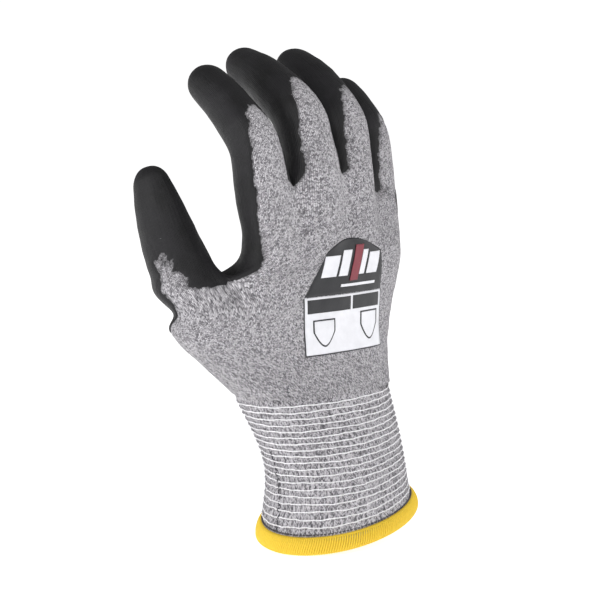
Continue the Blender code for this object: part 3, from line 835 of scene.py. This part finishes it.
def rib_height(turn, height):
    """How far the cuff's ribs and the puffs between its elastic courses stand out."""
    rib = 0.14 * np.cos(turn * RIBS)
    puff = 0.22 * np.cos((height - HEM_HEIGHT) / ELASTIC_PITCH * math.tau - turn)
    fade = 1.0 - smoothstep(CUFF_TOP - 3.0, CUFF_TOP, height)
    slow = 0.5 * np.sin(turn * 3.0 + height / 19.0) + 0.35 * np.sin(turn * 5.0 - height / 11.0)
    return (rib - puff) * fade + slow * smoothstep(0.0, 15.0, height) * fade


def link(name, data):
    """A new object for a finished mesh."""
    piece = bpy.data.objects.new(name, data)
    bpy.context.scene.collection.objects.link(piece)
    return piece


def wrist_bend(piece):
    """Bake a piece of the cuff's transform into its mesh."""
    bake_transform(piece)


class GLOVE_PG_liner(bpy.types.PropertyGroup):
    """Colours of the heathered yarn."""

    light_yarn: FloatVectorProperty(
        name="Light yarn", description="Palest fibre of the heathered yarn", subtype="COLOR",
        size=3, min=0.0, max=1.0, default=linear("d6d3d8"))
    dark_yarn: FloatVectorProperty(
        name="Dark yarn", description="Darkest fibre of the heathered yarn", subtype="COLOR",
        size=3, min=0.0, max=1.0, default=linear("555358"))


class GLOVE_PG_coating(bpy.types.PropertyGroup):
    """Colours of the dipped coating."""

    deep: FloatVectorProperty(
        name="Deep", description="Darkest tone of the coating", subtype="COLOR",
        size=3, min=0.0, max=1.0, default=linear("0c0c0d"))
    bloom: FloatVectorProperty(
        name="Bloom", description="Palest tone of the coating", subtype="COLOR",
        size=3, min=0.0, max=1.0, default=linear("1d1c1f"))


class GLOVE_PG_cuff(bpy.types.PropertyGroup):
    """Sizes and colours of the cuff and its hem."""

    elastic_width: FloatProperty(
        name="Elastic yarn", description="Thickness of the elastic yarn", subtype="DISTANCE",
        unit="LENGTH", default=0.6 * MM)
    elastic: FloatVectorProperty(
        name="Elastic colour", description="Colour of the elastic yarn", subtype="COLOR",
        size=3, min=0.0, max=1.0, default=linear("e9e8eb"))
    hem: FloatVectorProperty(
        name="Hem colour", description="Colour of the overlock thread", subtype="COLOR",
        size=3, min=0.0, max=1.0, default=linear("e6c336"))
    needle: FloatVectorProperty(
        name="Needle thread colour", description="Colour of the stitches above the hem", subtype="COLOR",
        size=3, min=0.0, max=1.0, default=linear("48464c"))
    needle_stitches: IntProperty(
        name="Needle stitches", description="Stitches round the top of the hem", default=128, min=20)
    hem_wraps: IntProperty(
        name="Hem wraps", description="Turns of thread round the hem", default=204, min=60)


class GLOVE_PG_label(bpy.types.PropertyGroup):
    """Colours of the label's films."""

    panel: FloatVectorProperty(
        name="Panel", description="Colour of the pale film", subtype="COLOR",
        size=3, min=0.0, max=1.0, default=linear("dcdce1"))
    header: FloatVectorProperty(
        name="Header", description="Colour of the dark film", subtype="COLOR",
        size=3, min=0.0, max=1.0, default=linear("1c1c20"))
    stripe: FloatVectorProperty(
        name="Stripe", description="Colour of the header's stripe", subtype="COLOR",
        size=3, min=0.0, max=1.0, default=linear("7c2f3a"))


class GLOVE_PG_stage(bpy.types.PropertyGroup):
    """Strength of the studio light."""

    backdrop: FloatProperty(name="Backdrop", description="Brightness of the surroundings", default=0.3)


class GLOVE_OT_liner(bpy.types.Operator):
    """Build the knitted liner of the hand and the digits"""

    bl_idname = "glove.liner"
    bl_label = "Liner"

    def execute(self, context):
        shade = knit_material(context.scene.glove_liner)
        fine, points, normals, depth, sections = glove_surface()
        soak = smoothstep(-1.3, 0.2, depth)
        for n, section in enumerate(sections):
            piece = split_piece(f"{section}_liner", fine, n, points, normals, KNIT_WALL, extra={"soak": soak})
            piece.data.materials.append(shade)
            bend_with(piece, section)
            declare_knit(section)
            stand_for(section, "knit")
        return {"FINISHED"}


class GLOVE_OT_coating(bpy.types.Operator):
    """Build the dipped coating over the palm and the fingertips"""

    bl_idname = "glove.coating"
    bl_label = "Coating"

    def execute(self, context):
        shade = coat_material(context.scene.glove_coating)
        fine, points, normals, depth, sections = glove_surface()
        rise = np.clip(depth * 0.55, -COAT_SINK, COAT_RISE)
        raised = points + normals * rise[:, None]
        whole = fine.copy()
        whole.vertices.foreach_set("co", raised.ravel())
        whole.update()
        facing = column_of(whole.vertices, "normal", 3)
        dry = depth < -0.9
        for n, section in enumerate(sections):
            piece = split_piece(f"{section}_coating", whole, n, raised, facing, COAT_WALL, drop=dry)
            if piece is None:
                continue
            piece.data.materials.append(shade)
            bend_with(piece, section)
            stand_for(section, "coating")
        bpy.data.meshes.remove(whole)
        return {"FINISHED"}


def girth(points):
    """The length of the closed line through some points."""
    return float(np.linalg.norm(points - np.roll(points, 1, axis=0), axis=1).sum())


def knit_size(section):
    """Flat width and length of a knitted section in millimetres, from the tables and not its mesh.

    The width is the girth that the tables give, before the knit is stretched over the hand.
    """
    if section == "hand":
        heights = np.arange(2.0, HAND_ROWS[-1][0], 4.0)
        round_hand = np.mean([girth(section_ring(height, LOWER_COLUMNS)) for height in heights])
        return round_hand / KNIT_STRETCH, HAND_ROWS[-1][0]
    if section == "cuff":
        turn = np.arange(360) / 360 * math.tau
        rings = [girth(cuff_points(turn, np.full(360, height), 0.0)) for height in (5.0, 20.0, 35.0, 50.0)]
        return np.mean(rings) / KNIT_STRETCH, CUFF_TOP
    name, part = section.split("_")
    line, part = LINES[name], int(part)
    low, high = digit_stops(line)[part:part + 2]
    if part == 0:
        low = DIGITS[name]["rim"] - WEB_DROP
    middle = line.value(line.radius, (low + high) / 2)
    closed = DIGITS[name]["radii"][-1] if high == line.length else 0.0
    return math.tau * middle / KNIT_STRETCH, high - low + closed


def declare_knit(section):
    """Work out a knitted piece's flat width and length, which are not used further."""
    width, length = knit_size(section)


def stand_for(section, layer):
    """Hide the CAD nodes that a section of a layer stands for."""
    if section == "hand":
        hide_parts("hand_knit" if layer == "knit" else "palm_coating")
        return
    name, part = section.split("_")
    parts = ("proximal", "tip") if name == "thumb" else ("proximal", "middle", "tip")
    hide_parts(f"{name}_{layer}_{parts[int(part)]}")


class GLOVE_OT_cuff(bpy.types.Operator):
    """Build the ribbed cuff, its elastic yarn and the overlocked hem"""

    bl_idname = "glove.cuff"
    bl_label = "Cuff"

    def execute(self, context):
        settings = context.scene.glove_cuff
        shade = rib_material(context.scene.glove_liner)
        columns, rows = RIBS * 6, 84
        mesh = bmesh.new()
        mesh.loops.layers.uv.new("knit")
        bmesh.ops.create_grid(mesh, x_segments=columns, y_segments=rows, size=1.0)
        grid = np.array([vert.co for vert in mesh.verts])
        turn = (grid[:, 0] + 1) / 2 * math.tau
        top, low = CUFF_TOP, 0.6
        height = low + (grid[:, 1] + 1) / 2 * (top - low)
        places = cuff_points(turn, height, rib_height(turn, height) - 0.3)
        layer = mesh.loops.layers.uv.active
        for face in mesh.faces:
            for corner in face.loops:
                n = corner.vert.index
                corner[layer].uv = (turn[n] / math.tau * RIBS, height[n] / COURSE)
        for vert, place in zip(mesh.verts, places):
            vert.co = place
        bmesh.ops.remove_doubles(mesh, verts=mesh.verts, dist=1e-4)
        bmesh.ops.recalc_face_normals(mesh, faces=mesh.faces)
        bmesh.ops.solidify(mesh, geom=mesh.faces[:], thickness=0.9)
        data = bpy.data.meshes.new("cuff_rib")
        mesh.to_mesh(data)
        mesh.free()
        data.shade_smooth()
        data.transform(Matrix.Scale(MM, 4))
        data.materials.append(shade)
        cuff = link("cuff_rib", data)
        wrist_bend(cuff)
        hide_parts("cuff_knit")
        declare_knit("cuff")

        start = HEM_HEIGHT + ELASTIC_PITCH / 2
        turns = math.floor((CUFF_TOP - 1.0 - start) / ELASTIC_PITCH)
        steps = RIBS * 3
        angle = np.arange(turns * steps + 1) / steps * math.tau
        height = start + ELASTIC_PITCH * angle / math.tau
        sway = 0.16 * np.sin(angle * 7.3) + 0.1 * np.sin(angle * 23.7)
        out = rib_height(angle, height) + 0.05 + 0.14 * np.cos(angle * RIBS / 2.0)
        path = cuff_points(angle, height + sway, out)
        elastic = self.tube("cuff_elastic", [path], settings.elastic_width / 2 / MM, False, 1)
        elastic.data.materials.append(thread_material("elastic_yarn_covered", settings.elastic, 900.0, 0.25))
        wrist_bend(elastic)
        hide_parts("cuff_elastic_yarn")

        wraps = []
        profile = ((0.9, 4.7), (1.5, 3.3), (1.65, 1.4), (1.3, -0.1), (0.2, -0.8), (-1.1, -0.6), (-1.7, 0.8),
                   (-1.7, 3.0), (-1.4, 4.3), (-0.2, 5.0))
        for n in range(settings.hem_wraps):
            base = n / settings.hem_wraps * math.tau
            points = []
            for out, high in profile:
                angle = base + 0.05 * (high / 5.0) * (1.0 if out > 0 else 0.4)
                points.append(cuff_points(np.array(angle), np.array(max(high, 0.0)), np.array(out))
                              + np.array((0.0, 0.0, min(high, 0.0))))
            wraps.append(np.array(points))
        hem = self.tube("hem_overlock", wraps, 0.56, True, 1)
        hem.data.materials.append(thread_material("overlock_thread_spun", settings.hem, 1400.0, 0.12))
        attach(hem, "cuff")
        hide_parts("hem_overlock_thread")

        stitches_made = []
        for n in range(settings.needle_stitches):
            start = n / settings.needle_stitches * math.tau
            angle = np.linspace(start, start + math.tau / settings.needle_stitches * 0.6, 4)
            lift = np.array((-0.2, 0.35, 0.35, -0.2))
            stitches_made.append(cuff_points(angle, np.full(4, 6.1), lift))
        for n in range(SEAM_STITCHES):
            low = HEM_HEIGHT + 0.6 + 2.4 * n
            height = np.linspace(low, low + 1.6, 4)
            angle = math.radians(SEAM_TURN) + 0.02 * np.sin(height * 1.7)
            lift = np.array((-0.2, 0.3, 0.3, -0.2)) + rib_height(angle, height)
            stitches_made.append(cuff_points(angle, height, lift))
        needle = self.tube("hem_needle_stitches", stitches_made, 0.3, False, 1)
        needle.data.materials.append(thread_material("needle_thread_spun", settings.needle, 1400.0, 0.3))
        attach(needle, "cuff")
        return {"FINISHED"}

    def tube(self, name, paths, radius, cyclic, resolution):
        """Yarn of one thickness along one or more paths, as a mesh."""
        curve = bpy.data.curves.new(name, "CURVE")
        curve.dimensions = "3D"
        for path in paths:
            spline = curve.splines.new("POLY")
            spline.points.add(len(path) - 1)
            flat = np.concatenate([path * MM, np.ones((len(path), 1))], 1)
            spline.points.foreach_set("co", flat.ravel())
            spline.use_cyclic_u = cyclic
        curve.bevel_depth = radius * MM
        curve.bevel_resolution = resolution
        curve.use_fill_caps = True
        holder = link(name + "_line", curve)
        bpy.context.view_layer.update()
        data = bpy.data.meshes.new_from_object(holder.evaluated_get(bpy.context.evaluated_depsgraph_get()))
        bpy.data.objects.remove(holder)
        bpy.data.curves.remove(curve)
        data.name = name
        data.shade_smooth()
        return link(name, data)


class GLOVE_OT_label(bpy.types.Operator):
    """Press the blank label on the back of the hand"""

    bl_idname = "glove.label"
    bl_label = "Label"

    def execute(self, context):
        settings = context.scene.glove_label
        fine, points, normals, _, _ = glove_surface()
        polygons = [tuple(p.vertices) for p in fine.polygons]
        self.tree = BVHTree.FromPolygons([Vector(p) for p in points], polygons)
        white = film_material("heat_film_white", settings.panel, 0.5)
        black = film_material("heat_film_black", settings.header, 0.4)
        red = film_material("heat_film_red", settings.stripe, 0.45)
        made = {
            "label_border_film": (black, 0.14, [self.border]),
            "label_panel_film": (white, 0.3, [self.panel]),
            "label_header_film": (black, 0.24, [self.header]),
            "label_dark_marks": (black, 0.42, [
                self.box(0.03, 0.57, 0.72, 0.96), self.box(0.60, 0.97, 0.72, 0.96),
                self.shield(0.23, 0.135, 0.12, 0.60), self.shield(0.83, 0.12, 0.14, 0.66)]),
            "label_pale_marks": (white, 0.54, [
                self.shield(0.23, 0.118, 0.15, 0.575), self.shield(0.83, 0.103, 0.17, 0.635),
                self.slab(-7.0, 1.5, 53.0, 62.5), self.slab(3.0, 8.0, 53.0, 64.5),
                self.slab(15.0, 18.0, 53.0, 64.0), self.slab(19.5, 26.0, 53.0, 62.5),
                self.slab(4.0, 25.0, 48.0, 49.2)]),
            "label_red_mark": (red, 0.66, [self.slab(9.2, 13.8, 50.5, 66.5)]),
        }
        for name, (shade, lift, patches) in made.items():
            piece = self.film(name, patches, lift)
            piece.data.materials.append(shade)
            if name == "label_panel_film":
                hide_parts("label_panel")
            if name == "label_header_film":
                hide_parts("label_header")
        return {"FINISHED"}

    def panel(self, u, v):
        """Place of the pale panel's point on the back, from shares of its width and height."""
        return -16.0 + 46.0 * u, 18.5 + 26.0 * v

    def border(self, u, v):
        """Place of the thin dark edge that shows round the panel."""
        return -16.6 + 47.2 * u, 17.9 + 26.6 * v

    def header(self, u, v):
        """Place of the dark header's point on the back, from shares of its width and height."""
        slant = 13.0 * v
        rise = 19.5 + 6.0 * math.sin(math.pi * u ** 0.9) - 1.5 * u
        return -16.0 + slant + (46.0 - slant) * u, 44.9 + rise * v

    def box(self, left, right, low, high):
        """A plain box on the panel."""
        return lambda u, v: self.panel(left + (right - left) * u, low + (high - low) * v)

    def slab(self, left, right, low, high):
        """A plain slanted block on the header, in millimetres from the wrist's centre."""
        return lambda u, v: (left + (right - left) * u + 0.3 * (high - low) * v, low + (high - low) * v)

    def shield(self, middle, half, low, high):
        """A blank badge on the panel, square at the top and pointed below."""
        def place(u, v):
            wide = half * min(1.0, (max(v, 0.004) / 0.55) ** 0.55)
            return self.panel(middle + wide * (2 * u - 1), low + (high - low) * v)
        return place

    def film(self, name, patches, lift):
        """Thin patches of film laid on the back of the hand, as one piece."""
        mesh = bmesh.new()
        for place in patches:
            made = bmesh.ops.create_grid(mesh, x_segments=32, y_segments=24, size=1.0)
            for vert in made["verts"]:
                x, h = place((vert.co.x + 1) / 2, (vert.co.y + 1) / 2)
                start = Vector((*(WRIST[:2] + np.array((x, -60.0))), WRIST[2] + h))
                hit, normal, _, _ = self.tree.ray_cast(start, Vector((0.0, 1.0, 0.0)))
                if hit is None:
                    raise RuntimeError(f"{name} misses the back of the hand")
                vert.co = hit + normal * lift
        bmesh.ops.remove_doubles(mesh, verts=mesh.verts, dist=1e-4)
        mesh.normal_update()
        if sum(face.normal.y for face in mesh.faces) > 0:
            bmesh.ops.reverse_faces(mesh, faces=mesh.faces)
        bmesh.ops.solidify(mesh, geom=mesh.faces[:], thickness=0.3)
        data = bpy.data.meshes.new(name)
        mesh.to_mesh(data)
        mesh.free()
        data.shade_smooth()
        data.transform(Matrix.Scale(MM, 4))
        piece = link(name, data)
        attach(piece, "hand")
        return piece


class GLOVE_OT_stage(bpy.types.Operator):
    """Set the floor, the light and the camera"""

    bl_idname = "glove.stage"
    bl_label = "Stage"

    def execute(self, context):
        settings = context.scene.glove_stage
        scene = context.scene
        scene.view_settings.view_transform = "Standard"
        mesh = bmesh.new()
        bmesh.ops.create_grid(mesh, x_segments=8, y_segments=8, size=200.0)
        data = bpy.data.meshes.new("floor")
        mesh.to_mesh(data)
        mesh.free()
        floor = link("floor", data)
        data.transform(Matrix.Translation((0.0, 0.0, CAD_BOX[0].z - 0.0005)))
        made, tree, shader = new_material("studio_floor_painted")
        shader.inputs["Base Color"].default_value = (0.9, 0.9, 0.9, 1.0)
        shader.inputs["Roughness"].default_value = 0.8
        shader.inputs["Emission Color"].default_value = (1.0, 1.0, 1.0, 1.0)
        shader.inputs["Emission Strength"].default_value = 0.8
        floor.data.materials.append(made)

        world = bpy.data.worlds.new("studio")
        scene.world = world
        world.use_nodes = True
        back = world.node_tree.nodes["Background"]
        back.inputs["Color"].default_value = (1.0, 1.0, 1.0, 1.0)
        back.inputs["Strength"].default_value = settings.backdrop
        tree = world.node_tree
        seen = add_node(tree, "ShaderNodeLightPath").outputs["Is Camera Ray"]
        level = maths(tree, "MULTIPLY_ADD", seen, 1.1 - settings.backdrop, settings.backdrop)
        tree.links.new(level, back.inputs["Strength"])

        centre = Vector((-0.01, 0.01, 0.11))
        for name, place, size, power in (
            ("key_light", (-0.6, -0.7, 0.9), 0.7, 8.2),
            ("side_light", (-0.9, 0.3, 0.35), 0.5, 3.8),
            ("fill_light", (0.9, -0.5, 0.5), 0.9, 4.2),
        ):
            lamp = bpy.data.lights.new(name, "AREA")
            lamp.size = size
            lamp.energy = power
            holder = link(name, lamp)
            holder.location = place
            holder.rotation_euler = (centre - Vector(place)).to_track_quat("-Z", "Y").to_euler()

        lens = bpy.data.cameras.new("camera")
        lens.sensor_width = 36.0
        lens.lens = 116.1
        camera = link("camera", lens)
        place, aim = Vector((-0.5581, -0.6860, 0.2434)), Vector((-0.01083, 0.01446, 0.1026))
        camera.location = place
        camera.rotation_euler = (aim - place).to_track_quat("-Z", "Y").to_euler()
        scene.camera = camera
        return {"FINISHED"}


class GLOVE_PT_glove(bpy.types.Panel):
    """Buttons that build the glove's pieces"""

    bl_label = "Glove"
    bl_idname = "GLOVE_PT_glove"
    bl_space_type = "VIEW_3D"
    bl_region_type = "UI"
    bl_category = "Glove"

    def draw(self, context):
        for step in STEPS:
            self.layout.operator(step.bl_idname)


SETTINGS = {
    "glove_liner": GLOVE_PG_liner,
    "glove_coating": GLOVE_PG_coating,
    "glove_cuff": GLOVE_PG_cuff,
    "glove_label": GLOVE_PG_label,
    "glove_stage": GLOVE_PG_stage,
}
STEPS = (GLOVE_OT_liner, GLOVE_OT_coating, GLOVE_OT_cuff, GLOVE_OT_label, GLOVE_OT_stage)
CLASSES = (*SETTINGS.values(), *STEPS, GLOVE_PT_glove)


def register():
    """Add the classes and the scene's settings."""
    for item in CLASSES:
        bpy.utils.register_class(item)
    for name, kind in SETTINGS.items():
        setattr(bpy.types.Scene, name, PointerProperty(type=kind))


def unregister():
    """Take the classes and the scene's settings away."""
    for name in SETTINGS:
        delattr(bpy.types.Scene, name)
    for item in reversed(CLASSES):
        bpy.utils.unregister_class(item)


def main():
    """Build every piece in order."""
    register()
    bpy.ops.glove.liner()
    bpy.ops.glove.coating()
    bpy.ops.glove.cuff()
    bpy.ops.glove.label()
    bpy.ops.glove.stage()


if __name__ == "__main__":
    main()
